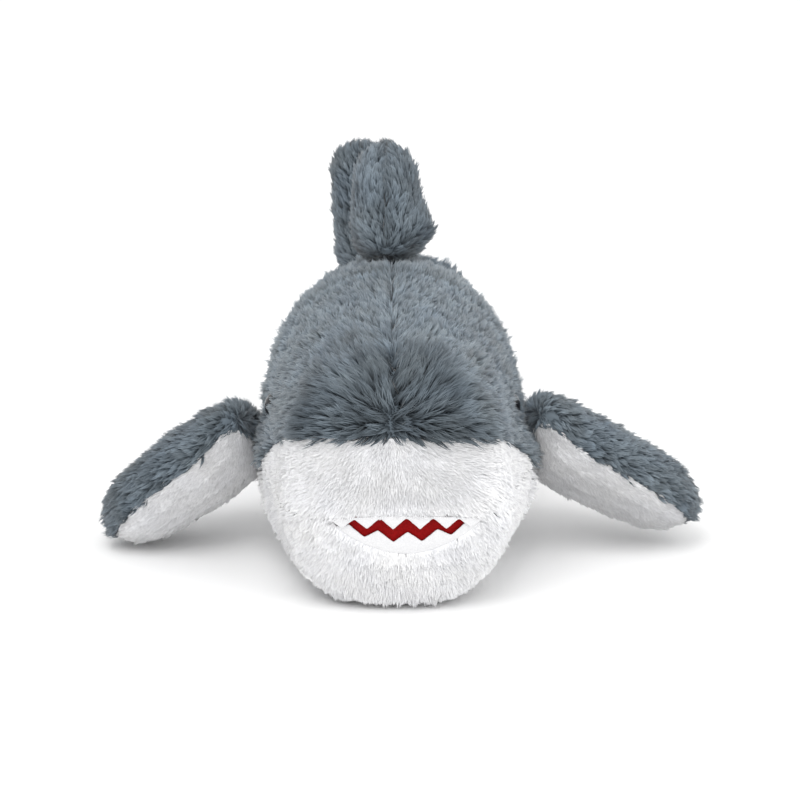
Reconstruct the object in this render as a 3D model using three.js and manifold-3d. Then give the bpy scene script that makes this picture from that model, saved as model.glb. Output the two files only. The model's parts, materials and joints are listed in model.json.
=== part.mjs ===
// A plush shark: long-pile fabric panels sewn over fibre-filled cores, with felt teeth in an open mouth.
// Millimetres, +Z up, nose towards -Y. The origin lies on the resting surface, under the toy's middle.
import * as THREE from 'three';
import { mergeVertices } from 'three/addons/utils/BufferGeometryUtils.js';
import Module from 'manifold-3d';

const wasm = await Module();
wasm.setup();

// ---------------------------------------------------------------- Driving dimensions

const NOSE_Y = -173;            // the nose tip; every "station" below is a distance behind it
const SEAM = 0.3;               // gap between neighbouring pieces
const SKIN = 4;                 // fabric and the dense foot of its pile
const FIN_SKIN = 3.2;
const FILL_GAP = 1.1;            // between the fabric's back and the filling

// Trunk sections from the nose to the end of the tail stock: station, half width, top, bottom, the height
// where it is widest, and how far its middle lies to the right. The stuffing sits a little to the left, and
// the mouth a little to the right.
const TRUNK = [
  [0, 0, 103, 103, 103, 0],
  [1.5, 17, 114, 86, 100, 0],
  [6, 32, 122, 62, 92, 0],
  [14, 46, 129, 29, 80, -0.4],
  [24, 54.5, 134, 4, 68, -1.4],
  [36, 59.5, 137, -4, 57, -2.4],
  [62, 64.5, 140, -5, 49, -3.4],
  [105, 69, 142, -5, 46, -4],
  [145, 70.5, 142.5, -5, 46, -4],
  [180, 67, 139.5, -4, 49, -4.6],
  [213, 53.5, 131, 4, 58, -4],
  [241, 42, 120.5, 18, 69, -1],
  [262, 35, 116, 38, 77, 0],
  [278, 30, 115, 58, 86, 0],
  [288, 23, 112, 72, 92, 0],
  [292, 12, 105, 82, 94, 0],
  [293, 0, 94, 94, 94, 0],
];
const TRUNK_ROUND = { upper: 2.45, lower: 2.45 };    // 2 is an ellipse, and more is squarer
const TRUNK_ROWS = 24;
const TRUNK_SIDES = 28;
const FIN_ROWS = 9;
const TAIL_FIN_ROWS = 12;
const FIN_SIDES = 16;
const TURNED_SIDES = 18;        // round plastic parts

const NECK_SEAM = { station: 46, lean: 0.743 };   // the seam plane's foot, and its lean back per mm up
const HEAD_BORDER = [
  [-10, 107], [0, 105], [20, 98], [45, 88], [62, 78], [76, 67], [92, 59], [125, 58], [160, 58],
];
const TRUNK_BORDER = [[0, 71], [110, 71], [160, 67], [210, 63], [260, 62], [320, 64]];

const MOUTH = { middle: 3, halfWidth: 36.5, corner: 57, upper: 60.5, lower: 36, depth: 70 };
const LINING = { margin: 6, front: 4.3, back: 6.3 };
const TEETH = {
  upper: { count: 6, height: 7, band: 0.5, front: 1.3, back: 2.4, halfWidth: 34, middle: 0.3 },
  lower: { count: 5, height: 6.5, band: 6.2, front: 2.8, back: 3.9, halfWidth: 32, middle: 0.8 },
};

const EYE = {
  station: 97, height: 88, dome: 6.5, rise: 5, sunk: 2, post: 2.4, length: 15,
  washer: 7.5, plate: 1.6, hollow: 1,
};

const TAIL_JOINT = { station: 252, radius: 42, gap: 1, sides: 48, turn: 13 };   // rests turned to the left

// Fins: span from the round root end to the tip; the hinge lies half a thickness in from the root end.
// A flare thickens one face near the root, and the seam lies that far up from the middle of the thickness.
const PECTORAL = { chord: 74, thickness: 46, taper: 0.3, sweep: 0, flare: 0, seam: -5.5 };
const LEFT_PECTORAL = { span: 89.7, x: -103, height: 48, droop: 36 };
const RIGHT_PECTORAL = { span: 96.6, x: 94.2, height: 53, droop: 28.5 };
const PECTORAL_STATION = 113;
const PECTORAL_PITCH = 32;
const DORSAL = { span: 64, chord: 60, thickness: 38, taper: 0.4, sweep: 22, flare: 0.42, seam: 0 };
const DORSAL_HINGE = { x: -7.8, station: 207, height: 153.5, lean: 14 };
const TAIL_FIN = { up: 74, down: 54, chord: 60, thickness: 42.5, sweepUp: 18, sweepDown: 14, notch: 0.14 };
const TAIL_FIN_HINGE = { station: 316, height: 97, roll: 7 };

// ---------------------------------------------------------------- Materials

const cloth = (color, roughness = 0.95) => new THREE.MeshStandardMaterial({ color, roughness, metalness: 0 });
const GREY = 0x76828d;
const WHITE = 0xe6e7ea;
const RED = 0x9c0a0e;
const FELT = 0xf2f2f0;
const FILL = 0xf4f1e8;
const BLACK = 0x0c0c0e;

// ---------------------------------------------------------------- Solids and booleans

const REACH = 400;              // further than the toy reaches from the origin, for cutting blocks

function solid(geometry) {
  const bare = geometry.clone();
  bare.deleteAttribute('normal');
  bare.deleteAttribute('uv');
  const merged = mergeVertices(bare, 1e-4);
  return new wasm.Manifold(new wasm.Mesh({
    numProp: 3,
    vertProperties: Float32Array.from(merged.attributes.position.array),
    triVerts: Uint32Array.from(merged.index.array),
  }));
}

function mesh(name, body, color, roughness) {
  const { vertProperties, triVerts } = body.getMesh();
  const geometry = new THREE.BufferGeometry();
  geometry.setAttribute('position', new THREE.BufferAttribute(Float32Array.from(vertProperties), 3));
  geometry.setIndex(new THREE.BufferAttribute(Uint32Array.from(triVerts), 1));
  geometry.computeVertexNormals();
  const piece = new THREE.Mesh(geometry, cloth(color, roughness));
  piece.name = name;
  return piece;
}

function block(low, high) {
  const size = new THREE.Vector3(...high).sub(new THREE.Vector3(...low));
  const centre = new THREE.Vector3(...low).addScaledVector(size, 0.5);
  return solid(new THREE.BoxGeometry(...size).translate(...centre));
}

// A closed surface from a ball: point(u, angle) gives its place, with u from 0 to 1 between the poles.
function wrapped(point, inset, rows, sides, floor = -Infinity) {
  const ball = new THREE.SphereGeometry(1, sides, rows);
  const { position, uv } = ball.attributes;
  const step = 1e-3;
  const axis = point(1, 0).sub(point(0, 0)).normalize();
  for (let i = 0; i < position.count; i += 1) {
    const u = 1 - uv.getY(i);
    const angle = -uv.getX(i) * 2 * Math.PI;
    const inner = THREE.MathUtils.clamp(u, step, 1 - step);
    const along = point(inner + step / 2, angle).sub(point(inner - step / 2, angle));
    const around = point(inner, angle + step).sub(point(inner, angle - step));
    const normal = around.cross(along).normalize();
    const place = point(u, u === 0 || u === 1 ? 0 : angle);
    if (u === 0 || u === 1) normal.copy(axis).multiplyScalar(u === 0 ? -1 : 1);
    place.addScaledVector(normal, -inset);
    position.setXYZ(i, place.x, place.y, Math.max(place.z, floor));
  }
  return solid(ball);
}

// ---------------------------------------------------------------- Trunk: head, body and tail stock

const smooth = (points) => new THREE.CatmullRomCurve3(points, false, 'catmullrom', 0.5);
const outline = smooth(TRUNK.map(([s, half, , , widest]) => new THREE.Vector3(s, half, widest)));
const heights = smooth(TRUNK.map(([s, , top, bottom]) => new THREE.Vector3(s, top, bottom)));
const midline = smooth(TRUNK.map(([s, , , , , x]) => new THREE.Vector3(s, x, 0)));

const power = (value, exponent) => Math.sign(value) * Math.abs(value) ** exponent;

function trunkPoint(u, angle) {
  const { x: station, y: half, z: widest } = outline.getPoint(u);
  const { y: top, z: bottom } = heights.getPoint(u);
  const upper = Math.cos(angle) > 0;
  const round = upper ? TRUNK_ROUND.upper : TRUNK_ROUND.lower;
  return new THREE.Vector3(
    midline.getPoint(u).y + Math.max(half, 0) * power(Math.sin(angle), 2 / round),
    NOSE_Y + station,
    widest + (upper ? top - widest : widest - bottom) * power(Math.cos(angle), 2 / round),
  );
}

const trunk = (inset) => wrapped(trunkPoint, inset, TRUNK_ROWS, TRUNK_SIDES, inset);
const layer = (front, back) => trunk(front).subtract(trunk(back));

// A side view area, given as [station, height] points, swept right through the toy from side to side.
function sidePrism(points) {
  const shape = new THREE.Shape(points.map(([s, z]) => new THREE.Vector2(NOSE_Y + s, z)));
  const prism = new THREE.ExtrudeGeometry(shape, { depth: 2 * REACH, bevelEnabled: false });
  prism.translate(0, 0, -REACH);
  prism.applyMatrix4(new THREE.Matrix4().set(0, 0, 1, 0, 1, 0, 0, 0, 0, 1, 0, 0, 0, 0, 0, 1));
  return solid(prism);
}

// A front view area, given as Vector2 points of x and height, swept back from in front of the nose.
function frontPrism(points, depth = MOUTH.depth) {
  const prism = new THREE.ExtrudeGeometry(new THREE.Shape(points), { depth, bevelEnabled: false });
  prism.rotateX(Math.PI / 2);
  prism.translate(0, NOSE_Y - SKIN + depth, 0);
  return solid(prism);
}

const curve = (points, n) => new THREE.SplineCurve(points.map(([x, y]) => new THREE.Vector2(x, y)))
  .getPoints(n).map(({ x, y }) => [x, y]);
const shifted = (points, dy) => points.map(([x, y]) => [x, y + dy]);
const closedAt = (line, height) => sidePrism([...line, [line.at(-1)[0], height], [line[0][0], height]]);
const above = (line) => closedAt(shifted(line, SEAM / 2), REACH);
const below = (line) => closedAt(shifted(line, -SEAM / 2), -REACH);

function besideNeck(side) {
  const shift = (side * SEAM * Math.hypot(1, NECK_SEAM.lean)) / 2;
  const foot = NECK_SEAM.station + shift;
  return sidePrism([
    [foot - NECK_SEAM.lean * REACH, -REACH],
    [foot + NECK_SEAM.lean * REACH, REACH],
    [side * 2 * REACH, REACH],
    [side * 2 * REACH, -REACH],
  ]);
}

// The space on one side of the seam along the top of the trunk.
function besideMidline(side) {
  const steps = 30;
  const line = midline.getPoints(steps).map(({ x: s, y: x }) => [x + (side * SEAM) / 2, NOSE_Y + s]);
  const edge = side * REACH;
  const beyond = [[line[steps][0], REACH], [edge, REACH], [edge, -REACH], [line[0][0], -REACH]];
  const shape = new THREE.Shape([...line, ...beyond].map(([x, y]) => new THREE.Vector2(x, y)));
  const prism = new THREE.ExtrudeGeometry(shape, { depth: 2 * REACH, bevelEnabled: false });
  return solid(prism.translate(0, 0, -REACH));
}

const inFront = besideNeck(-1);
const behind = besideNeck(1);
const leftHalf = besideMidline(-1);
const rightHalf = besideMidline(1);

// The tail turns on a round end that sits in a hollow in the back of the body.
const jointY = NOSE_Y + TAIL_JOINT.station;
const drum = (radius) => {
  const barrel = new THREE.CylinderGeometry(radius, radius, 2 * REACH, TAIL_JOINT.sides);
  return solid(barrel.rotateX(Math.PI / 2).translate(0, jointY, 0));
};
const behindJoint = block([-REACH, jointY, -REACH], [REACH, REACH, REACH]);
const tailSpace = behindJoint.add(drum(TAIL_JOINT.radius + TAIL_JOINT.gap));
const tailPart = (body) => body.intersect(behindJoint.add(drum(TAIL_JOINT.radius)));
const bodyPart = (body) => body.subtract(tailSpace);

const skin = layer(0, SKIN);
const headBorder = curve(HEAD_BORDER, 24);
const trunkBorder = curve(TRUNK_BORDER, 12);

// The mouth opening between its lips, and the line on which the two white head panels meet beyond it.
function lips(height, drop = 0) {
  const points = [];
  const steps = 16;
  for (let i = 0; i <= steps; i += 1) {
    const across = 2 * (i / steps) - 1;
    const y = height + (MOUTH.corner - height) * across ** 2 + drop;
    points.push(new THREE.Vector2(MOUTH.middle + MOUTH.halfWidth * across, y));
  }
  return points;
}

const far = 120;                // beyond either cheek
const mouthOpening = frontPrism([...lips(MOUTH.upper), ...lips(MOUTH.lower).reverse().slice(1, -1)]);
const lipLine = [new THREE.Vector2(-far, MOUTH.corner), ...lips((MOUTH.upper + MOUTH.lower) / 2),
  new THREE.Vector2(far, MOUTH.corner)];
const lifted = (points, dy) => points.map((p) => new THREE.Vector2(p.x, p.y + dy));
const overTo = (height) => [new THREE.Vector2(far, height), new THREE.Vector2(-far, height)];
const aboveLips = frontPrism([...lifted(lipLine, SEAM / 2), ...overTo(REACH)], REACH);
const belowLips = frontPrism([...lifted(lipLine, -SEAM / 2), ...overTo(-REACH)], REACH);

// A felt strip along one lip, with a row of pointed teeth that reach over the opening.
function teeth({ count, height, band, front, back, halfWidth, middle }, lip, way) {
  const edge = (x) => lip + (MOUTH.corner - lip) * ((x - MOUTH.middle) / MOUTH.halfWidth) ** 2 - way * SEAM;
  const points = [];
  const sewn = [];
  const pitch = (2 * halfWidth) / count;
  for (let i = 0; i <= 2 * count; i += 1) {
    const across = -halfWidth + (i * pitch) / 2;
    const x = MOUTH.middle + middle + across;
    const fall = 1 - (across / halfWidth) ** 2;
    const reach = i % 2 ? height * (0.6 + 0.4 * fall) : 0;
    points.push(new THREE.Vector2(x, edge(x) - way * (1 + band * fall + reach)));
    sewn.unshift(new THREE.Vector2(x, edge(x)));
  }
  return layer(front, back).intersect(frontPrism([...points, ...sewn]));
}

const liningArea = (margin) => {
  const points = [];
  const turns = 28;
  for (let i = 0; i < turns; i += 1) {
    const angle = (i / turns) * 2 * Math.PI;
    points.push(new THREE.Vector2(
      MOUTH.middle + (MOUTH.halfWidth + margin) * Math.cos(angle),
      (MOUTH.upper + MOUTH.lower) / 2 + ((MOUTH.upper - MOUTH.lower) / 2 + margin) * Math.sin(angle),
    ));
  }
  return frontPrism(points);
};

// ---------------------------------------------------------------- Eyes and their washers

// The station's share of the trunk's length, as outline and heights count it.
function shareAt(station) {
  let [low, high] = [0, 1];
  for (let i = 0; i < 30; i += 1) {
    const middle = (low + high) / 2;
    if (outline.getPoint(middle).x < station) low = middle;
    else high = middle;
  }
  return low;
}

// Puts a turned shape, made along +Y, on the head's side with its zero at the fabric and +Y pointing out.
function onCheek(profile, side) {
  const u = shareAt(EYE.station);
  const { y: half, z: widest } = outline.getPoint(u);
  const tall = heights.getPoint(u).y - widest;
  const round = TRUNK_ROUND.upper;
  const lift = (EYE.height - widest) / tall;
  const spread = (1 - lift ** round) ** (1 / round);
  const [level, up] = [(side * spread ** (round - 1)) / half, lift ** (round - 1) / tall];
  const out = new THREE.Vector3(level, 0, up).normalize();
  const turned = new THREE.LatheGeometry(profile.map(([r, y]) => new THREE.Vector2(r, y)), TURNED_SIDES);
  turned.applyQuaternion(new THREE.Quaternion().setFromUnitVectors(new THREE.Vector3(0, 1, 0), out));
  const x = midline.getPoint(u).y + side * half * spread;
  return solid(turned.translate(x, NOSE_Y + EYE.station, EYE.height));
}

function eyeProfile(spare) {
  const foot = -EYE.sunk - spare;
  const end = -EYE.length - spare;
  const steps = 5;
  const profile = [[0, end], [EYE.post + spare, end], [EYE.post + spare, foot]];
  for (let i = 0; i < steps; i += 1) {
    const angle = (i / steps) * (Math.PI / 2);
    profile.push([(EYE.dome + spare) * Math.cos(angle), foot + (EYE.rise + 2 * spare) * Math.sin(angle)]);
  }
  return [...profile, [0, foot + EYE.rise + 2 * spare]];
}

function washerProfile(spare) {
  const front = -SKIN - SEAM - EYE.hollow + spare;
  const back = front - EYE.plate - 2 * spare;
  const inner = EYE.post + SEAM - spare;
  const outer = EYE.washer + spare;
  return [[inner, back], [outer, back], [outer, front], [inner, front], [inner, back]];
}

const socket = (side) => onCheek(eyeProfile(SEAM), side);
const washerSpace = (side) => onCheek(washerProfile(SEAM), side);

// ---------------------------------------------------------------- Fins

// Falls from 1 to 0 over the last share of a length in a quarter round, at either end.
function rounded(p, start, end) {
  if (p < start) return Math.sqrt(1 - (1 - p / start) ** 2);
  if (p > 1 - end) return Math.sqrt(Math.max(0, 1 - ((p - 1 + end) / end) ** 2));
  return 1;
}

// A stuffed fin along +X from its round root end, with its leading edge towards -Y. Its hinge is the Y axis.
function finPoint(fin, side) {
  const knuckle = fin.thickness / 2;
  return (u, angle) => {
    const p = (1 - Math.cos(Math.PI * u)) / 2;
    const narrow = 1 - fin.taper * p ** 1.5;
    const chord = fin.chord * narrow * rounded(p, 0.06, 0.42);
    const thick = fin.thickness * (1 - 0.2 * p ** 2) * rounded(p, knuckle / fin.span, 0.28);
    const flare = Math.cos(angle) < 0 ? 1 + fin.flare * Math.exp(-(((p - 0.25) / 0.2) ** 2)) : 1;
    return new THREE.Vector3(
      side * (fin.span * p - knuckle),
      fin.sweep * p ** 2 - (chord / 2) * Math.sin(side * angle),
      flare * (thick / 2) * Math.cos(angle),
    );
  };
}

// The tail fin stands along Z, with its hinge on the Z axis.
function tailFinPoint(u, angle) {
  const { up, down, sweepUp, sweepDown, thickness, notch } = TAIL_FIN;
  const p = (1 - Math.cos(Math.PI * u)) / 2;
  const z = -down + (up + down) * p;
  const share = z > 0 ? z / up : -z / down;
  const sweep = (z > 0 ? sweepUp : sweepDown) * share ** 1.6;
  const fork = 1 - notch * Math.exp(-((z / 16) ** 2));
  const chord = TAIL_FIN.chord * (1 - 0.42 * share) * fork * rounded(p, 0.16, 0.16);
  const thick = thickness * (1 - 0.3 * share) * rounded(p, 0.12, 0.12);
  return new THREE.Vector3(
    (thick / 2) * Math.cos(angle),
    sweep + chord / 2 - thickness / 2 + (chord / 2) * Math.sin(angle),
    z,
  );
}

const radians = THREE.MathUtils.degToRad;
const yAt = (station) => NOSE_Y + station;
const placed = (x, station, height, turn) => new THREE.Matrix4()
  .makeRotationFromEuler(turn).setPosition(x, yAt(station), height);

// Two fabric halves on either side of a flat seam across one axis, and the filling inside them, put in place.
// The weight of the toy presses whatever reaches the resting surface flat on it.
function stuffed(point, axis, seam, rows, place) {
  const inPlace = (u, angle) => point(u, angle).applyMatrix4(place);
  const shape = (inset) => wrapped(inPlace, inset, rows, FIN_SIDES, inset);
  const fabric = shape(0).subtract(shape(FIN_SKIN));
  const half = (way) => {
    const centre = new THREE.Vector3().setComponent(axis, seam + way * (REACH + SEAM / 2));
    const side = new THREE.BoxGeometry(2 * REACH, 2 * REACH, 2 * REACH).translate(...centre);
    return fabric.intersect(solid(side.applyMatrix4(place)));
  };
  return { plus: half(1), minus: half(-1), filling: shape(FIN_SKIN + FILL_GAP) };
}

function pectoral({ span, x, height, droop }) {
  const side = Math.sign(x);
  const turn = new THREE.Euler(-radians(PECTORAL_PITCH), side * radians(droop), 0, 'ZYX');
  const place = placed(x, PECTORAL_STATION, height, turn);
  return stuffed(finPoint({ ...PECTORAL, span }, side), 2, PECTORAL.seam, FIN_ROWS, place);
}

function dorsal() {
  const { x, station, height, lean } = DORSAL_HINGE;
  const turn = new THREE.Euler(-radians(lean), -Math.PI / 2, 0, 'XYZ');
  return stuffed(finPoint(DORSAL, 1), 2, DORSAL.seam, FIN_ROWS, placed(x, station, height, turn));
}

function tailFin() {
  const { station, height, roll } = TAIL_FIN_HINGE;
  const turn = new THREE.Euler(0, -radians(roll), 0);
  return stuffed(tailFinPoint, 0, 0, TAIL_FIN_ROWS, placed(0, station, height, turn));
}

// ---------------------------------------------------------------- The toy

const shark = new THREE.Group();
const add = (name, body, color, roughness) => shark.add(mesh(name, body, color, roughness));

const headTop = skin.intersect(inFront).intersect(above(headBorder));
const headWhite = skin.intersect(inFront).intersect(below(headBorder)).subtract(mouthOpening);
const trunkTop = skin.intersect(behind).intersect(above(trunkBorder));
const trunkWhite = skin.intersect(behind).intersect(below(trunkBorder));
add('snout_panel_left', headTop.intersect(leftHalf).subtract(socket(-1)), GREY);
add('snout_panel_right', headTop.intersect(rightHalf).subtract(socket(1)), GREY);
add('muzzle_panel', headWhite.intersect(aboveLips), WHITE);
add('chin_panel', headWhite.intersect(belowLips), WHITE);
add('back_panel_left', bodyPart(trunkTop).intersect(leftHalf), GREY);
add('back_panel_right', bodyPart(trunkTop).intersect(rightHalf), GREY);
add('belly_panel', bodyPart(trunkWhite), WHITE);

add('mouth_lining', layer(LINING.front, LINING.back).intersect(liningArea(LINING.margin)), RED);
add('upper_teeth', teeth(TEETH.upper, MOUTH.upper, 1), FELT);
add('lower_teeth', teeth(TEETH.lower, MOUTH.lower, -1), FELT);

for (const [name, side] of [['left', -1], ['right', 1]]) {
  add(`eye_${name}`, onCheek(eyeProfile(0), side), BLACK, 0.2);
  add(`eye_washer_${name}`, onCheek(washerProfile(0), side), FELT, 0.5);
}

const liningSpace = trunk(0).subtract(trunk(LINING.back + SEAM)).intersect(liningArea(LINING.margin + 0.5));
const core = trunk(SKIN + FILL_GAP).subtract(liningSpace);
const eyeSpace = socket(-1).add(socket(1)).add(washerSpace(-1)).add(washerSpace(1));
add('body_stuffing', bodyPart(core).subtract(eyeSpace), FILL);

for (const [name, fin] of [['left', LEFT_PECTORAL], ['right', RIGHT_PECTORAL]]) {
  const { plus, minus, filling } = pectoral(fin);
  add(`${name}_fin_top`, plus, GREY);
  add(`${name}_fin_underside`, minus, WHITE);
  add(`${name}_fin_stuffing`, filling, FILL);
}

const back = dorsal();
add('dorsal_fin_left', back.plus, GREY);
add('dorsal_fin_right', back.minus, GREY);
add('dorsal_fin_stuffing', back.filling, FILL);

// Everything behind the tail joint rests turned about it.
const tail = new THREE.Group();
const rear = tailFin();
const addTail = (name, body, color) => {
  const piece = mesh(name, body, color);
  piece.position.y = -jointY;
  tail.add(piece);
};
addTail('tail_panel_left', tailPart(trunkTop).intersect(leftHalf), GREY);
addTail('tail_panel_right', tailPart(trunkTop).intersect(rightHalf), GREY);
addTail('tail_belly_panel', tailPart(trunkWhite), WHITE);
addTail('tail_stuffing', tailPart(core), FILL);
addTail('tail_fin_left', rear.minus, GREY);
addTail('tail_fin_right', rear.plus, GREY);
addTail('tail_fin_stuffing', rear.filling, FILL);
tail.position.y = jointY;
tail.rotation.z = radians(TAIL_JOINT.turn);
shark.add(tail);

export default shark;
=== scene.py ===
"""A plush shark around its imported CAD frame: long grey pile above, short white pile below, felt teeth.

Every fabric panel is a padded skin with its pile as real strands, so the pile shows in any view and in the
mesh. Metres, +Z up, nose towards -Y.
"""

import json
import math

import bmesh
import bpy
import numpy as np
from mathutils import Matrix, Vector, kdtree
from mathutils.bvhtree import BVHTree


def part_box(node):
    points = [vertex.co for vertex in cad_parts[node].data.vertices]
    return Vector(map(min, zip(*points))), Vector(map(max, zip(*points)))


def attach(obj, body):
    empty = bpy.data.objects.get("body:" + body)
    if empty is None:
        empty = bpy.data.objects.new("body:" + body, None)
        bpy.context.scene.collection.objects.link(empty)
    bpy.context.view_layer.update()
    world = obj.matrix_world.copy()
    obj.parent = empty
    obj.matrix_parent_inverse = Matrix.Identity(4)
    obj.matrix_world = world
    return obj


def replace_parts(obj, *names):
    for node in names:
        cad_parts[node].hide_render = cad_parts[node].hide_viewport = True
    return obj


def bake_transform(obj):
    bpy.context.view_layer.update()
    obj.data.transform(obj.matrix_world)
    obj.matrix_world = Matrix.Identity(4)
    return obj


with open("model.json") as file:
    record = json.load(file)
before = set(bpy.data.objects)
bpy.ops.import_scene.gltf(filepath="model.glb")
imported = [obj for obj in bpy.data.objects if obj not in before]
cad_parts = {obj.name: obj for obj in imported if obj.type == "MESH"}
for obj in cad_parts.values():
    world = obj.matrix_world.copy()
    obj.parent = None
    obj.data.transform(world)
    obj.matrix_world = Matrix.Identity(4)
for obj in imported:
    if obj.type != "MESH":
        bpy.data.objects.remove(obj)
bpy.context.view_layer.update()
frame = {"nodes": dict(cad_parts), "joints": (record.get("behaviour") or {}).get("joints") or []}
nodes = frame["nodes"]
joints = {j["name"]: j for j in frame["joints"]}
node_slot = {name: node.data.materials[0].name for name, node in nodes.items()}

MM = 0.001
SEED = 41
STRAND_VERTS = 7
FILL_GAP = 1.1 * MM         # between the filling and the skin
THINNEST_SKIN = 3.2 * MM    # of the CAD solids, pile and backing together
BACKING = 0.3               # the share of it that is backing, under the pile
RIM = 1.6 * MM              # what remeshing takes off a panel's edges
SEAM_OVERLAP = 0.5 * MM
WIDEST_GAP = 6.5 * MM       # between two rims that are sewn together, after remeshing
LIP_GAP = 3.4 * MM          # the same for the panels around the mouth, which stays open
SEAM_STRETCH = 9 * MM       # how far back from the rim the skin stretches
JOINT_GAP = 13 * MM         # the widest gap across a bent joint
JOINT_STRETCH = 16 * MM
JOINT_OVERLAP = 2 * MM
MOST_FACES = 199000         # in one piece of pile, so that it exports whole

HEAD_LOW, HEAD_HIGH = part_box("snout_panel_left")[0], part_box("snout_panel_right")[1]
MIDDLE = (HEAD_LOW.x + HEAD_HIGH.x) / 2           # of the stuffed trunk, a little to the left
NOSE = np.array([MIDDLE, HEAD_LOW.y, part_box("muzzle_panel")[1].z])
CROWN = np.array([MIDDLE, HEAD_HIGH.y, HEAD_HIGH.z])
PARTING = NOSE + np.array([0.0, 0.0, 6 * MM])     # the pile lies away from here, all over the trunk

# Length, width and clump in millimetres; strands to a square millimetre; lean in degrees from upright at the
# strand's foot and at its tip; stray in degrees; softness is how far a strand is shaded as the pile's surface
# is, and not as a hard thread; the rest are shares.
# The grey pile's root colour, near black, is painted shade deep in the pile; its tip colour is the fibre's
# own grey.
GREY = {
    "slot": "grey_pile", "length": 8.5, "width": 0.66, "density": 1.75, "clump": 2.5, "gather": 0.5,
    "lean": (44, 68), "stray": 12, "uneven": 0.16, "patchy": 0.2, "blotch": 0.16, "sway": 16,
    "softness": 0.65, "root": (0.028, 0.038, 0.048), "tip": (0.25, 0.3, 0.34),
}
WHITE = {
    "slot": "white_pile", "length": 4.6, "width": 0.6, "density": 1.5, "clump": 2.2, "gather": 0.12,
    "lean": (60, 80), "stray": 8, "uneven": 0.12, "patchy": 0.01, "blotch": 0.01, "sway": 9,
    "softness": 0.9, "root": (0.88, 0.88, 0.89), "tip": (0.9, 0.9, 0.91),
}


# ---------------------------------------------------------------- Materials


def material(name, roughness, **values):
    """A new material, its node tree and its shader, with plain values set on the shader's own sockets."""
    made = bpy.data.materials.new(f"{name}_look")
    made.use_nodes = True
    tree = made.node_tree
    shader = tree.nodes["Principled BSDF"]
    shader.inputs["Roughness"].default_value = roughness
    for socket, value in values.items():
        shader.inputs[socket.replace("_", " ")].default_value = value
    return made, tree, shader


def noise(tree, scale, detail=3.0):
    """Noise in the object's own space, so that it doesn't depend on a UV map."""
    place = tree.nodes.new("ShaderNodeTexCoord")
    texture = tree.nodes.new("ShaderNodeTexNoise")
    texture.inputs["Scale"].default_value = scale
    texture.inputs["Detail"].default_value = detail
    tree.links.new(place.outputs["Object"], texture.inputs["Vector"])
    return texture


def two_tone(tree, factor, dark, light):
    """A blend from dark to light over the middle of the factor's range."""
    ramp = tree.nodes.new("ShaderNodeValToRGB")
    ramp.color_ramp.elements[0].position = 0.3
    ramp.color_ramp.elements[0].color = (*dark, 1)
    ramp.color_ramp.elements[1].position = 0.7
    ramp.color_ramp.elements[1].color = (*light, 1)
    tree.links.new(factor, ramp.inputs["Fac"])
    return ramp.outputs["Color"]


def pile_material(name, sheen, cool, warm):
    """Each strand's colour, painted shade included, a little warmer and cooler from patch to patch."""
    made, tree, shader = material(name, 0.85, Sheen_Weight=sheen, Sheen_Roughness=0.45)
    shader.inputs["Specular IOR Level"].default_value = 0.2
    own = tree.nodes.new("ShaderNodeAttribute")
    own.attribute_name = "pile"
    patches = two_tone(tree, noise(tree, 42.0).outputs["Fac"], cool, warm)
    mix = tree.nodes.new("ShaderNodeMix")
    mix.data_type = "RGBA"
    mix.blend_type = "MULTIPLY"
    mix.inputs["Factor"].default_value = 1.0
    tree.links.new(own.outputs["Color"], mix.inputs["A"])
    tree.links.new(patches, mix.inputs["B"])
    tree.links.new(mix.outputs["Result"], shader.inputs["Base Color"])
    return made


def cloth_material(name, dark, light, scale, bump, roughness=0.9, sheen=0.3):
    """Fibres, weave or moulded plastic as mottled colour and fine relief."""
    made, tree, shader = material(name, roughness, Sheen_Weight=sheen, Sheen_Roughness=0.5)
    shader.inputs["Specular IOR Level"].default_value = 0.15 if sheen else 0.5
    grain = noise(tree, scale, 5.0)
    tree.links.new(two_tone(tree, grain.outputs["Fac"], dark, light), shader.inputs["Base Color"])
    relief = tree.nodes.new("ShaderNodeBump")
    relief.inputs["Strength"].default_value = bump
    relief.inputs["Distance"].default_value = 0.3 * MM
    tree.links.new(grain.outputs["Fac"], relief.inputs["Height"])
    tree.links.new(relief.outputs["Normal"], shader.inputs["Normal"])
    return made


MATERIALS = {
    "grey_pile": pile_material("grey_pile", 0.25, (0.93, 0.96, 1.0), (1.0, 0.985, 0.96)),
    "white_pile": pile_material("white_pile", 0.2, (0.98, 0.985, 1.0), (1.0, 1.0, 0.995)),
    "red_lining": cloth_material(
        "red_lining", (0.17, 0.0, 0.0), (0.26, 0.001, 0.002), 900, 0.25, sheen=0.02),
    "felt": cloth_material("felt", (0.62, 0.62, 0.63), (0.72, 0.72, 0.73), 1400, 0.6),
    "fibre_fill": cloth_material("fibre_fill", (0.72, 0.7, 0.66), (0.86, 0.84, 0.8), 500, 0.8),
    "washer_plastic": cloth_material(
        "washer_plastic", (0.7, 0.7, 0.69), (0.74, 0.74, 0.73), 300, 0.05, roughness=0.5, sheen=0.0),
    "eye_plastic": cloth_material(
        "eye_plastic", (0.006, 0.006, 0.008), (0.014, 0.014, 0.016), 260, 0.0, roughness=0.12, sheen=0.0),
}


# ---------------------------------------------------------------- Meshes as arrays


def arrays(obj):
    """An object's vertices and triangles."""
    mesh = obj.data
    mesh.calc_loop_triangles()
    verts = np.empty(len(mesh.vertices) * 3)
    mesh.vertices.foreach_get("co", verts)
    tris = np.empty(len(mesh.loop_triangles) * 3, np.int64)
    mesh.loop_triangles.foreach_get("vertices", tris)
    return verts.reshape(-1, 3), tris.reshape(-1, 3)


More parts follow.
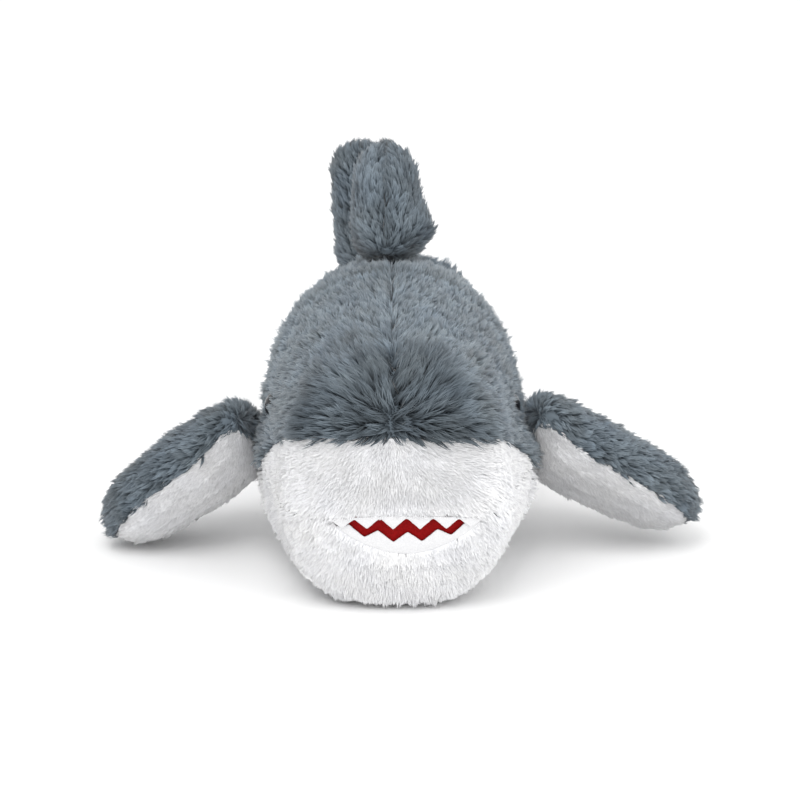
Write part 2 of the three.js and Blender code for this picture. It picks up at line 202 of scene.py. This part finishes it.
def vertex_normals(verts, tris):
    """Area-weighted unit normals."""
    a, b, c = (verts[tris[:, i]] for i in range(3))
    face = np.cross(b - a, c - a)
    total = np.zeros_like(verts)
    for corner in range(3):
        for axis in range(3):
            total[:, axis] += np.bincount(tris[:, corner], face[:, axis], len(verts))
    return unit(total)


def eased(values, start, end):
    """0 at start and beyond, 1 at end and beyond, and smooth between them."""
    t = np.clip((values - start) / (end - start), 0, 1)
    return t * t * (3 - 2 * t)


def unit(vectors):
    return vectors / np.maximum(np.linalg.norm(vectors, axis=-1, keepdims=True), 1e-12)


def smoothed(verts, tris, rounds):
    """Relaxes each vertex towards its neighbours, and keeps it on or above the floor."""
    edges = np.unique(np.sort(tris[:, [0, 1, 1, 2, 2, 0]].reshape(-1, 2), axis=1), axis=0)
    a, b = edges.T
    count = np.bincount(edges.ravel(), minlength=len(verts))[:, None]
    verts = verts.copy()
    for _ in range(rounds):
        total = np.stack([
            np.bincount(a, verts[b, axis], len(verts)) + np.bincount(b, verts[a, axis], len(verts))
            for axis in range(3)], axis=1)
        verts += 0.5 * (total / count - verts)
    verts[:, 2] = np.maximum(verts[:, 2], 0.1 * MM)
    return verts


def remeshed(names, voxel):
    """The CAD solids of these nodes as one evenly meshed closed skin."""
    bm = bmesh.new()
    for name in names:
        bm.from_mesh(nodes[name].data)
    bmesh.ops.remove_doubles(bm, verts=bm.verts, dist=0.001 * MM)
    mesh = bpy.data.meshes.new("skin")
    bm.to_mesh(mesh)
    bm.free()
    rough = bpy.data.objects.new("skin", mesh)
    bpy.context.scene.collection.objects.link(rough)
    grid = rough.modifiers.new("grid", "REMESH")
    grid.mode = "VOXEL"
    grid.voxel_size = voxel
    even = rough.evaluated_get(bpy.context.evaluated_depsgraph_get())
    verts, tris = arrays(even)
    bpy.data.objects.remove(rough)
    return verts, tris


def new_piece(name, slot, verts, tris, colours=None, uvs=None, normals=None):
    """An object from arrays. Pile has a colour and a normal for each vertex, and a UV map for the colours."""
    mesh = bpy.data.meshes.new(name)
    mesh.vertices.add(len(verts))
    mesh.vertices.foreach_set("co", np.asarray(verts, np.float32).ravel())
    mesh.loops.add(len(tris) * 3)
    mesh.loops.foreach_set("vertex_index", np.asarray(tris, np.int32).ravel())
    mesh.polygons.add(len(tris))
    mesh.polygons.foreach_set("loop_start", np.arange(0, len(tris) * 3, 3, dtype=np.int32))
    mesh.update(calc_edges=True)
    mesh.polygons.foreach_set("use_smooth", np.ones(len(tris), bool))
    if colours is not None:
        rgba = np.concatenate([colours, np.ones((len(colours), 1))], axis=1)
        layer = mesh.color_attributes.new("pile", "FLOAT_COLOR", "POINT")
        layer.data.foreach_set("color", rgba.astype(np.float32).ravel())
    if uvs is not None:
        layer = mesh.uv_layers.new(name="OFBake")
        layer.data.foreach_set("uv", uvs[tris.ravel()].astype(np.float32).ravel())
    if normals is not None:
        mesh.normals_split_custom_set_from_vertices(normals)
    mesh.materials.append(MATERIALS[slot])
    made = bpy.data.objects.new(name, mesh)
    bpy.context.scene.collection.objects.link(made)
    return made


# ---------------------------------------------------------------- Pile


def surface(names):
    """The surface of these CAD nodes, to measure from."""
    verts, tris, first = [], [], 0
    for name in names:
        own, faces = arrays(nodes[name])
        verts.append(own)
        tris.append(faces + first)
        first += len(own)
    return BVHTree.FromPolygons([Vector(v) for v in np.concatenate(verts)], np.concatenate(tris).tolist())


def nearest(tree, points):
    return np.array([tree.find_nearest(Vector(p))[0] for p in points])


def drawn_in(verts, core, share, most):
    """The skin thinned towards the filling, so that its pile fills the rest of the solid's space."""
    away = verts - nearest(core, verts)
    gap = np.linalg.norm(away, axis=1)[:, None]
    return verts - unit(away) * np.clip((gap - FILL_GAP) * share, 0, most)


def spread(verts, tris, core):
    """The skin's rims pushed out along the surface, to meet the next panel's."""
    away = unit(verts - nearest(core, verts))
    normals = vertex_normals(verts, tris)
    flat = normals - away * np.einsum("ij,ij->i", normals, away)[:, None]
    return verts + flat * RIM


def pulled(verts, rim, moves, over):
    """The rim's vertices moved, and those within reach of them drawn along."""
    tree = kdtree.KDTree(len(rim))
    for i, place in enumerate(verts[rim]):
        tree.insert(place, i)
    tree.balance()
    moved = verts.copy()
    for i, place in enumerate(verts):
        beside = [(number, far) for _, number, far in tree.find_n(place, 5) if far < over]
        if beside:
            numbers, far = (np.array(values) for values in zip(*beside))
            weight = 1 / (far + 0.5 * MM)
            share = eased(far, over, 0.0) * weight / weight.sum()
            moved[i] += (moves[numbers] * share[:, None]).sum(axis=0)
    return moved


def stretched(verts, tris, others, widest):
    """The skin's rims pulled over to the panels that they are sewn to, across gaps narrower than widest."""
    gap = nearest(others, verts) - verts
    wide = np.linalg.norm(gap, axis=1)
    facing = np.einsum("ij,ij->i", vertex_normals(verts, tris), gap) / np.maximum(wide, 1e-9)
    rim = np.flatnonzero((wide < widest) & (facing > 0.6))
    moves = gap[rim] * (1 + SEAM_OVERLAP / np.maximum(wide[rim], 0.2 * MM))[:, None]
    return pulled(verts, rim, moves, SEAM_STRETCH)


def joined(verts, tris, widest):
    """A skin whose own rims, across the open side of a bent joint, are pulled together."""
    own = BVHTree.FromPolygons([Vector(v) for v in verts], tris.tolist())
    rim, moves = [], []
    for i, (place, normal) in enumerate(zip(verts, vertex_normals(verts, tris))):
        _, facing, _, gap = own.ray_cast(Vector(place + normal * 0.3 * MM), Vector(normal), widest)
        if facing is not None and facing.dot(Vector(normal)) < -0.4:
            rim.append(i)
            moves.append(normal * (gap / 2 + JOINT_OVERLAP))
    return pulled(verts, np.array(rim), np.array(moves), JOINT_STRETCH) if rim else verts


def outer_triangles(verts, tris, normals, before, core):
    """The triangles on the skin's outside, which face away from the filling under them."""
    middle = before[tris].mean(axis=1)
    away = middle - nearest(core, middle)
    gap = np.linalg.norm(away, axis=1)
    facing = np.einsum("ij,ij->i", unit(normals[tris].mean(axis=1)), away) / np.maximum(gap, 1e-9)
    return tris[(gap > FILL_GAP + 0.45 * THINNEST_SKIN) & (facing > 0.5)]


def turned(vectors, axes, angles):
    """Vectors turned about unit axes at right angles to them."""
    cos, sin = np.cos(angles)[:, None], np.sin(angles)[:, None]
    return vectors * cos + np.cross(axes, vectors) * sin


def ripple(rng, points, wave):
    """A smooth random value at each point, about -1 to 1, that changes over this many metres."""
    turns = rng.normal(0, 2 * math.pi / wave, (12, 3)) * 0.6
    phase = rng.uniform(0, 2 * math.pi, 12)
    return np.sin(points @ turns.T + phase).sum(axis=1) / 3.5


def spots(rng, verts, tris, normals, count):
    """Places spread evenly over the triangles, and the normals there."""
    a, b, c = (verts[tris[:, i]] for i in range(3))
    area = np.cumsum(np.linalg.norm(np.cross(b - a, c - a), axis=1))
    pick = np.searchsorted(area, (np.arange(count) + rng.random(count)) / count * area[-1])
    pick = np.minimum(pick, len(tris) - 1)
    u, v = rng.random(count), rng.random(count)
    over = u + v > 1
    u[over], v[over] = 1 - u[over], 1 - v[over]
    share = np.stack([1 - u - v, u, v], axis=1)[:, :, None]
    corner = tris[pick]
    return (verts[corner] * share).sum(axis=1), unit((normals[corner] * share).sum(axis=1))


def curves(root, normal, nap, length, lean, scale):
    """Middle and tip of strands that rise from root and lean over towards nap."""
    side = unit(nap - normal * np.einsum("ij,ij->i", nap, normal)[:, None])
    foot, tip = (np.radians(a) * scale for a in lean)
    first = normal * np.cos(foot)[:, None] + side * np.sin(foot)[:, None]
    last = normal * np.cos(tip)[:, None] + side * np.sin(tip)[:, None]
    middle = root + first * (0.5 * length)[:, None]
    return middle, middle + last * (0.5 * length)[:, None]


def strands(rng, pile, root, normal, field):
    """Tapered three-sided strands gathered into pointed clumps, with each vertex's colour and normal."""
    count = len(root)
    clumps = max(8, int(count / pile["density"] / pile["clump"] ** 2))
    heads = rng.permutation(count)[:clumps]
    tree = kdtree.KDTree(clumps)
    for i, place in enumerate(root[heads]):
        tree.insert(place, i)
    tree.balance()
    clump = np.array([tree.find(place)[1] for place in root])
    order = np.argsort(clump, kind="stable")
    root, normal, clump = root[order], normal[order], clump[order]

    # Each clump has its own direction, length and shade.
    head_root, head_normal = root_at(root, normal, clump, clumps)
    nap, upright, reach, shade = field(head_root)
    length = pile["length"] * MM * reach * (1 + pile["uneven"] * rng.uniform(-1, 1, clumps))
    swing = np.radians(pile["stray"] * rng.normal(0, 1, clumps)
                       + pile["sway"] * ripple(rng, head_root, 28 * MM))
    nap = turned(unit(nap), head_normal, swing)
    lean = (1 - upright) * (1 + 0.14 * rng.normal(0, 1, clumps) + 0.12 * ripple(rng, head_root, 14 * MM))
    middle, tip = curves(head_root, head_normal, nap, length, pile["lean"], lean)
    shade = shade * (1 + pile["patchy"] * rng.uniform(-1, 1, clumps)
                     + pile["blotch"] * ripple(rng, head_root, 9 * MM))

    # Each strand follows its clump and draws in towards its tip, with a little of its own.
    offset = root - head_root[clump]
    own = rng.normal(0, 1, (2, count, 3)) * (length[clump] * 0.04)[None, :, None]
    grown = (0.8 + 0.3 * rng.random(count))[:, None]
    gather = pile["gather"] * (0.75 + 0.5 * rng.random(count))[:, None]
    middle = middle[clump] + offset * (1 - 0.4 * gather) + own[0]
    tip = tip[clump] + offset * (1 - gather) + own[1]
    middle, tip = root + (middle - root) * grown, root + (tip - root) * grown
    foot = root - normal * 0.4 * MM

    width = pile["width"] * MM * (0.75 + 0.5 * rng.random(count))
    start, end = unit(middle - foot), unit(tip - middle)
    across = unit(np.cross(start, normal + 0.01 * rng.normal(0, 1, (count, 3))))
    verts = np.empty((count, STRAND_VERTS, 3))
    normals = np.empty((count, STRAND_VERTS, 3))
    for ring, (centre, heading, share) in enumerate(((foot, start, 0.5), (middle, unit(start + end), 0.42))):
        other = np.cross(heading, across)
        for corner in range(3):
            angle = corner * 2 * math.pi / 3
            spoke = across * math.cos(angle) + other * math.sin(angle)
            verts[:, ring * 3 + corner] = centre + spoke * (width * share)[:, None]
            normals[:, ring * 3 + corner] = spoke
    verts[:, 6] = tip
    normals[:, 6] = end
    normals = unit(normals * (1 - pile["softness"]) + normal[:, None] * pile["softness"])
    verts[:, :, 2] = np.maximum(verts[:, :, 2], 0.1 * MM)

    tone = (shade[clump] * (1 + 0.12 * rng.uniform(-1, 1, count)))[:, None]
    # Each strand runs from the root colour to the tip colour; on the grey pile the dark root is painted
    # shade.
    dark, light = np.array(pile["root"]), np.array(pile["tip"])
    colours = np.empty((count, STRAND_VERTS, 3))
    for part, share in ((slice(0, 3), 0.0), (slice(3, 6), 0.55), (slice(6, 7), 1.0)):
        colours[:, part] = ((dark * (1 - share) + light * share) * tone)[:, None, :]
    return verts, np.clip(colours, 0.003, 0.95), normals


def root_at(root, normal, clump, clumps):
    """The middle of each clump's roots, and their mean normal."""
    number = np.maximum(np.bincount(clump, minlength=clumps), 1)[:, None]
    sums = [np.stack([np.bincount(clump, values[:, axis], clumps) for axis in range(3)], 1)
            for values in (root, normal)]
    return sums[0] / number, unit(sums[1] + np.array([0, 0, 1e-9]))


STRAND_TRIS = np.array([
    (0, 2, 1), (0, 1, 4), (0, 4, 3), (1, 2, 5), (1, 5, 4), (2, 0, 3), (2, 3, 5),
    (3, 4, 6), (4, 5, 6), (5, 3, 6)])
STRAND_UV = np.array([
    (0.2, 0.12), (0.5, 0.12), (0.8, 0.12), (0.2, 0.55), (0.5, 0.55), (0.8, 0.55), (0.5, 0.9)])
SKIN_STRIP = 0.15           # the share of the UV map that the skin takes, below the strands


def pile_uvs(verts, count):
    """The skin laid flat along the lower edge of the map, and one cell for each strand above it."""
    low, high = verts.min(axis=0), verts.max(axis=0)
    wide = np.argsort(high - low)[:0:-1]
    flat = (verts[:, wide] - low[wide]) / (high - low)[wide] * (1, SKIN_STRIP - 0.01)
    columns = math.ceil(math.sqrt(max(count, 1)))
    rows = math.ceil(max(count, 1) / columns)
    row, column = np.divmod(np.arange(count), columns)
    corner = np.stack([column / columns, SKIN_STRIP + (1 - SKIN_STRIP) * row / rows], axis=1)
    cell = np.array([1 / columns, (1 - SKIN_STRIP) / rows])
    return np.concatenate([flat, (corner[:, None, :] + STRAND_UV[None] * cell).reshape(-1, 2)])


def furred(name, covered, core, pile, field, sewn_to, widest=WIDEST_GAP, bare=None, shape=None, seed=0):
    """A panel's skin with its pile, as one piece in place of the CAD nodes that it covers."""
    rng = np.random.default_rng(SEED + seed)
    fill = surface(core)
    whole, tris = remeshed(covered, SKIN_VOXEL)
    whole = smoothed(whole, tris, SKIN_SMOOTHING)
    verts = spread(drawn_in(whole, fill, 1 - BACKING, 3 * MM), tris, fill)
    normals = vertex_normals(verts, tris)
    outer = outer_triangles(verts, tris, normals, whole, fill)
    verts = stretched(verts, tris, sewn_to, widest)
    if len(covered) > 1:
        verts = joined(verts, tris, JOINT_GAP)
    normals = vertex_normals(verts, tris)
    if shape is not None:
        verts = shape(verts, normals)
    verts[:, 2] = np.maximum(verts[:, 2], 0.1 * MM)
    normals = vertex_normals(verts, tris)
    a, b, c = (verts[outer[:, i]] for i in range(3))
    area = 0.5 * np.linalg.norm(np.cross(b - a, c - a), axis=1).sum() / MM ** 2
    count = min(int(area * pile["density"]), (MOST_FACES - len(tris)) // len(STRAND_TRIS))
    root, normal = spots(rng, verts, outer, normals, count)
    keep = root[:, 2] > 1.5 * MM
    if bare is not None:
        keep &= ~bare(root)
    root, normal = root[keep], normal[keep]
    number = len(root)
    tips, colours, shading = strands(rng, {**pile, "density": number / area}, root, normal, field)
    print(f"{name}: {len(tris)} skin triangles, {number} strands, {number / area:.2f} per mm2")
    # The skin under the pile takes mostly the root colour: on the grey pile this is painted shade in the gaps
    # between the strands.
    base = np.array(pile["root"]) * 0.65 + np.array(pile["tip"]) * 0.35
    links = STRAND_TRIS[None] + (len(verts) + STRAND_VERTS * np.arange(number))[:, None, None]
    piece = new_piece(
        name, pile["slot"],
        np.concatenate([verts, tips.reshape(-1, 3)]),
        np.concatenate([tris, links.reshape(-1, 3)]),
        np.concatenate([np.tile(base, (len(verts), 1)), colours.reshape(-1, 3)]),
        pile_uvs(verts, number),
        np.concatenate([vertex_normals(verts, tris), shading.reshape(-1, 3)]))
    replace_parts(piece, *covered)
    return piece


FILLING_VOXEL = 3.5 * MM
SHRUNK = 2.5 * MM           # so that the filling stays under the skin at every pose


def filling(name, covered, slot="fibre_fill", colour=None):
    """The filling inside a padded part."""
    verts, tris = remeshed(covered, FILLING_VOXEL)
    verts = smoothed(verts, tris, 4)
    verts -= vertex_normals(verts, tris) * SHRUNK
    piece = new_piece(name, slot, verts, tris, None if colour is None else colour(verts))
    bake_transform(piece)
    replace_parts(piece, *covered)
    return piece


# ---------------------------------------------------------------- How the pile lies


def distance(tree, points):
    return np.array([tree.find_nearest(Vector(p))[3] for p in points])


FIN_ROOT = 9 * MM           # how far from a fin the pile is longer and lies less flat
LIP = 5 * MM                # how far from the teeth it is cut short
TUFT = 13 * MM              # round the crown
NECK = 5 * MM               # to each side of the neck seam
HALVES = 9 * MM             # how far from the middle the pile turns outwards
SNOUT = (76 * MM, 26 * MM)  # from the parting, where the long pile with painted shade ends and where it is whole
SNOUT_RAGGED = 14 * MM      # how uneven that edge is
HANGING = (60 * MM, 25 * MM)            # from the parting, where the pile that hangs down over the muzzle is
MUZZLE_FRONT = (70 * MM, 45 * MM)       # and where the white pile is a little darker, as painted shade
MUZZLE_TOP = (56 * MM, 66 * MM)         # above this height
HOOD_CORNER = (74 * MM, 60 * MM)        # below this height the hood's pile points down at the neck


def near(tree, points, over):
    """1 at a surface, and less and less away from it."""
    return np.exp(-(distance(tree, points) / over) ** 2)


def white_field(points):
    """The trunk's white pile: it parts at the nose, and is longer by the fins and shorter by the teeth; its
    muzzle front is a little darker, as painted shade.
    """
    far = np.linalg.norm(points - PARTING, axis=1)
    root, lip = near(fins, points, FIN_ROOT), near(teeth, points, LIP)
    # front: where the muzzle's pile has painted shade
    front = eased(far, *MUZZLE_FRONT) * eased(points[:, 2], *MUZZLE_TOP)
    return unit(points - PARTING), 0.5 * root, 1 + 1.2 * root - 0.4 * lip, 1 - 0.13 * front


def grey_field(across_neck, ridge):
    """The trunk's grey pile: it parts at the nose, stands up at the crown, and rises or dips at the neck; its
    colour has painted shade on the snout, at the crown and on the back's side of the neck seam, and a painted
    highlight on the head's side of it.
    """
    def field(points):
        far = np.linalg.norm(points - PARTING, axis=1)
        nap = unit(points - PARTING)
        root = near(fins, points, FIN_ROOT)
        hanging = eased(-nap[:, 2], 0.1, 0.7) * eased(far, *HANGING)
        beside = points[:, 0] - MIDDLE
        nap[:, 0] += 0.9 * np.exp(-np.abs(beside) / HALVES) * np.sign(beside)
        tuft = np.exp(-(np.linalg.norm(points - CROWN, axis=1) / TUFT) ** 2)
        ragged = SNOUT_RAGGED * ripple(np.random.default_rng(SEED), points, 30 * MM)
        snout = eased(far + ragged, *SNOUT)
        neck = near(across_neck, points, NECK)
        corner = neck * eased(points[:, 2], *HOOD_CORNER) * (1 if ridge else 0)
        nap[:, 2] -= 1.5 * corner
        upright = 0.6 * tuft + 0.24 * snout + 0.5 * neck * ridge * (1 - corner) + 0.35 * root
        reach = (1 + 0.45 * snout + 0.3 * tuft + 0.6 * corner) * (1 - 0.45 * neck) * (1 - 0.45 * hanging)
        # Painted shade: darker on the snout, at the crown tuft and on the back's side of the neck seam;
        # painted highlight: lighter on the head's side of it.
        shade = (1 - 0.44 * snout) * (1 - 0.42 * tuft) * (1 + (0.25 if ridge else -0.6) * neck)
        return nap, upright, reach, shade
    return field


CHEEK_LEFT = 4.5 * MM       # how far the cheeks swell out
CHEEK_RIGHT = 9 * MM
CHEEK_STATION = 90 * MM     # behind the nose
CHEEK_LENGTH = 28 * MM
CHEEK_FLANK = (25 * MM, 55 * MM)        # from the middle, where the swelling begins and is whole
CHEEK_TOP = (88 * MM, 62 * MM)
CHEEK_FOOT = (12 * MM, 40 * MM)
LIPS = sum(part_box("upper_teeth"), Vector()) / 2
MOUTH_WIDER = 0.2           # of its width, at its middle
MOUTH_ACROSS, MOUTH_UP = 55 * MM, 20 * MM
MOUTH_DEPTH = (50 * MM, 25 * MM)


def fuller(points):
    """The stuffed head's give: its cheeks swell in front of the fins, and its mouth is pulled wide."""
    station, beside, height = points[:, 1] - NOSE[1], points[:, 0] - MIDDLE, points[:, 2]
    cheek = np.where(beside < 0, -CHEEK_LEFT, CHEEK_RIGHT) * eased(np.abs(beside), *CHEEK_FLANK)
    cheek *= np.exp(-((station - CHEEK_STATION) / CHEEK_LENGTH) ** 2)
    cheek *= eased(height, *CHEEK_TOP) * eased(height, *CHEEK_FOOT)
    across, up = points[:, 0] - LIPS.x, height - LIPS.z
    wide = MOUTH_WIDER * across * np.exp(-(across / MOUTH_ACROSS) ** 2 - (up / MOUTH_UP) ** 2)
    moved = points.copy()
    moved[:, 0] += cheek + wide * eased(station, *MOUTH_DEPTH)
    return moved


def seamed(tree, depth, over):
    """A shape change that sinks a skin beside the panels that it is sewn to, or raises it."""
    def shape(verts, normals):
        return fuller(verts - normals * (depth * near(tree, verts, over))[:, None])
    return shape


def even_field(nap, creased_at=None):
    """A pile that lies one way all over, darker than the trunk's as painted shade, and darker still in a
    crease up the middle if there is one, also painted shade.
    """
    def field(points):
        ones = np.ones(len(points))
        crease = 0 if creased_at is None else np.exp(-((points[:, 0] - creased_at) / (2.6 * MM)) ** 2)
        # Painted shade: 0.82 of the pile's colour all over, and less in the crease.
        return np.tile(nap, (len(points), 1)), 0 * ones, 0.8 * ones, 0.82 * (1 - 0.35 * crease) * ones
    return field


# ---------------------------------------------------------------- Trunk

SKIN_VOXEL = 1.9 * MM
SKIN_SMOOTHING = 8
EYE_BARE = 5.2 * MM
BORDER = 65 * MM            # the height at which the trunk's grey and white meet
HEAD_DIP = -1.3 * MM        # how far a skin sinks at the neck seam
BACK_DIP = 3.0 * MM
WHITE_DIP = 0.3 * MM
DIP_OVER = 4.5 * MM

eyes = [sum(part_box(name), Vector()) / 2 for name in ("eye_left", "eye_right")]


def by_the_eye(points):
    """Where no pile grows, so that the eyes show."""
    beside = [np.hypot(points[:, 1] - eye.y, points[:, 2] - eye.z) < EYE_BARE for eye in eyes]
    return (beside[0] | beside[1]) & (np.abs(points[:, 0]) > eyes[1].x * 0.7)


TRUNK = [
    ("snout_left", ["snout_panel_left"], GREY),
    ("snout_right", ["snout_panel_right"], GREY),
    ("muzzle", ["muzzle_panel"], WHITE),
    ("chin", ["chin_panel"], WHITE),
    ("back_left", ["back_panel_left", "tail_panel_left"], GREY),
    ("back_right", ["back_panel_right", "tail_panel_right"], GREY),
    ("belly", ["belly_panel", "tail_belly_panel"], WHITE),
]
TEETH = {"muzzle": "upper_teeth", "chin": "lower_teeth"}
teeth = surface(TEETH.values())
fins = surface([f"{side}_fin_{part}" for side in ("left", "right") for part in ("top", "underside")]
               + ["dorsal_fin_left", "dorsal_fin_right"])
panels = sorted({node for _, covered, _ in TRUNK for node in covered})
head = [node for _, covered, _ in TRUNK[:4] for node in covered]
for number, (name, covered, pile) in enumerate(TRUNK):
    core = ["body_stuffing", "tail_stuffing"] if len(covered) > 1 else ["body_stuffing"]
    others = [node for node in panels if node not in covered]
    across_neck = surface([node for node in others if (node in head) != (covered[0] in head)])
    ridge = covered[0] in head
    sewn_to = surface(others + [TEETH[name]] if name in TEETH else others)
    if pile is WHITE:
        dip, field = WHITE_DIP, white_field
    else:
        dip, field = (HEAD_DIP if ridge else BACK_DIP), grey_field(across_neck, ridge)
    piece = furred(
        name, covered, core, pile, field, sewn_to, widest=LIP_GAP if name in TEETH else WIDEST_GAP,
        bare=by_the_eye, shape=seamed(across_neck, dip, DIP_OVER), seed=number)
    if len(covered) > 1:
        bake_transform(piece)
    else:
        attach(piece, "body")


def slit_shade_colour(points):
    """Painted shade where a seam opens: the filling is the grey pile's dark root colour under the grey pile,
    and the white pile's root colour under the white.
    """
    grey = eased(points[:, 2], BORDER - 2 * MM, BORDER + 2 * MM)[:, None]
    return np.array(GREY["root"]) * grey + np.array(WHITE["root"]) * (1 - grey)


# The trunk's filling carries painted shade, dark under the grey pile, so that open seams look deep.
filling("trunk_filling", ["body_stuffing", "tail_stuffing"],
        "grey_pile", slit_shade_colour)


# ---------------------------------------------------------------- Fins

# For each kind of fin, out from its hinge: where its root starts, how far the root is drawn in, over what
# length, and how far its upper side is lifted there; and the stretch over which its fabric bends.
PECTORAL_ROOT, PECTORAL_BEND = (-24 * MM, 20 * MM, 26 * MM, 8 * MM), (-30 * MM, 10 * MM)
DORSAL_ROOT, DORSAL_BEND = (-24 * MM, 8 * MM, 25 * MM, 0), (-18 * MM, 10 * MM)
TAIL_ROOT, TAIL_FIN_BEND = (-20 * MM, 6 * MM, 20 * MM, 0), (-18 * MM, 10 * MM)
TIP_HEIGHT = 8 * MM         # of the middle of a pectoral fin's tip, over its filling's lowest point


def rooted(root, out, by, over, lift):
    """A shape change that draws a fin's root into the body that it is sewn to, and lifts its upper side."""
    root, out = np.array(root), np.array(out) / np.linalg.norm(out)

    def shape(verts, normals):
        along = (verts - root) @ out
        drawn = by * (1 - np.clip(along / over, 0, 1)) ** 2
        above = (verts - root - out * along[:, None])[:, 2]
        moved = verts - out * drawn[:, None]
        moved[:, 2] += lift * eased(along, 0.85 * over, 0.1 * over) * eased(above, -2 * MM, 12 * MM)
        return moved
    return shape


def lobes(points):
    """The tail fin's pile, up over its upper lobe and down over its lower one, darkened all over as painted
    shade.
    """
    hinge = joints["tail_fin_sway"]["pos_m"][2]
    rise = np.tanh((points[:, 2] - hinge) / (14 * MM))
    ones = np.ones(len(points))
    # Painted shade: 0.75 of the pile's colour.
    return np.stack([0 * ones, 0.45 * ones, rise], axis=1), 0 * ones, 0.8 * ones, 0.75 * ones


def fin(name, joint, core, sides, out, field, root, seed):
    """Both sides of one fin, from inside the body that it is sewn to, out to its tip."""
    hinge, out = Vector(joints[joint]["pos_m"]), Vector(out).normalized()
    covered = [node for _, node, _ in sides]
    for number, (side, node, pile) in enumerate(sides):
        piece = furred(
            f"{name}_{side}_pile", [node], [core], pile, field,
            sewn_to=surface([other for other in covered if other != node]),
            shape=rooted(hinge + out * root[0], out, *root[1:]), seed=seed + number)
        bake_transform(piece)
    filling(f"{name}_filling", [core])


for side, sign, seed in (("left", -1, 20), ("right", 1, 22)):
    hinge = joints[f"{side}_fin_flap"]["pos_m"]
    low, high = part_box(f"{side}_fin_stuffing")
    tip = (low if sign < 0 else high).x
    droop = (hinge[2] - low.z - TIP_HEIGHT) / abs(tip - hinge[0])
    out = (sign, 0, -droop)
    fin(f"{side}_fin", f"{side}_fin_flap", f"{side}_fin_stuffing",
        (("top", f"{side}_fin_top", GREY), ("underside", f"{side}_fin_underside", WHITE)),
        out, even_field((sign, 0.3, -droop)), PECTORAL_ROOT, seed)
fin("dorsal_fin", "dorsal_fin_lean", "dorsal_fin_stuffing",
    (("left", "dorsal_fin_left", GREY), ("right", "dorsal_fin_right", GREY)),
    (0, 0, 1), even_field((0, 0.3, 1), creased_at=joints["dorsal_fin_lean"]["pos_m"][0]),
    DORSAL_ROOT, 24)
fin("tail_fin", "tail_fin_sway", "tail_fin_stuffing",
    (("left", "tail_fin_left", GREY), ("right", "tail_fin_right", GREY)),
    (-0.2, 1, 0), lobes, TAIL_ROOT, 26)


# ---------------------------------------------------------------- Mouth


def felted(name, node, voxel, rounds):
    """A piece of felt or cloth in place of its CAD node, with its cut edges rounded."""
    verts, tris = remeshed([node], voxel)
    piece = new_piece(name, node_slot[node], fuller(smoothed(verts, tris, rounds)), tris)
    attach(piece, "body")
    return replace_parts(piece, node)


felted("mouth_cloth", "mouth_lining", 1.0 * MM, 6)
felted("teeth_upper", "upper_teeth", 0.5 * MM, 4)
felted("teeth_lower", "lower_teeth", 0.5 * MM, 4)


# ---------------------------------------------------------------- Carried-over CAD nodes

for name, node in nodes.items():
    if not node.hide_render:
        node.data.materials.clear()
        node.data.materials.append(MATERIALS[node_slot[name]])
        if name.startswith("eye"):
            node.data.polygons.foreach_set("use_smooth", np.ones(len(node.data.polygons), bool))


# ---------------------------------------------------------------- Floor, light and camera

floor_mesh = bpy.data.meshes.new("floor")
bm = bmesh.new()
bmesh.ops.create_grid(bm, x_segments=8, y_segments=8, size=6)
bm.to_mesh(floor_mesh)
bm.free()
floor_mesh.materials.append(
    cloth_material("floor", (0.85, 0.85, 0.85), (0.87, 0.87, 0.87), 2.0, 0.0, roughness=0.8, sheen=0.0))
floor = bpy.data.objects.new("floor", floor_mesh)
bpy.context.scene.collection.objects.link(floor)

world = bpy.data.worlds.new("studio")
world.use_nodes = True
world.node_tree.nodes["Background"].inputs["Color"].default_value = (1, 1, 1, 1)
world.node_tree.nodes["Background"].inputs["Strength"].default_value = 1.0
bpy.context.scene.world = world

middle = Vector((0, 0, 0.07))
for name, place, size, power in (
    ("key", (-0.5, -1.2, 2.0), 1.4, 26.0),
    ("fill", (1.3, -1.0, 1.3), 1.4, 10.0),
    ("low", (0.0, -1.7, 0.32), 0.5, 2.2),
):
    light = bpy.data.lights.new(name, "AREA")
    light.size = size
    light.energy = power
    lamp = bpy.data.objects.new(name, light)
    lamp.location = place
    lamp.rotation_euler = (middle - lamp.location).to_track_quat("-Z", "Y").to_euler()
    bpy.context.scene.collection.objects.link(lamp)

VIEW_DOWN = math.radians(20)
VIEW_DISTANCE = 1.55
VIEW_WIDTH = 0.4            # across the picture at the target
SENSOR = 36.0
target = Vector((0, NOSE[1] + 15.8 * MM, 119.5 * MM))
camera_data = bpy.data.cameras.new("camera")
camera_data.sensor_width = SENSOR
camera_data.lens = SENSOR * VIEW_DISTANCE / VIEW_WIDTH
camera_data.clip_end = 50
camera = bpy.data.objects.new("camera", camera_data)
camera.location = target + Vector((0, -math.cos(VIEW_DOWN), math.sin(VIEW_DOWN))) * VIEW_DISTANCE
camera.rotation_euler = (target - camera.location).to_track_quat("-Z", "Y").to_euler()
bpy.context.scene.collection.objects.link(camera)
bpy.context.scene.camera = camera
bpy.context.scene.view_settings.view_transform = "Standard"
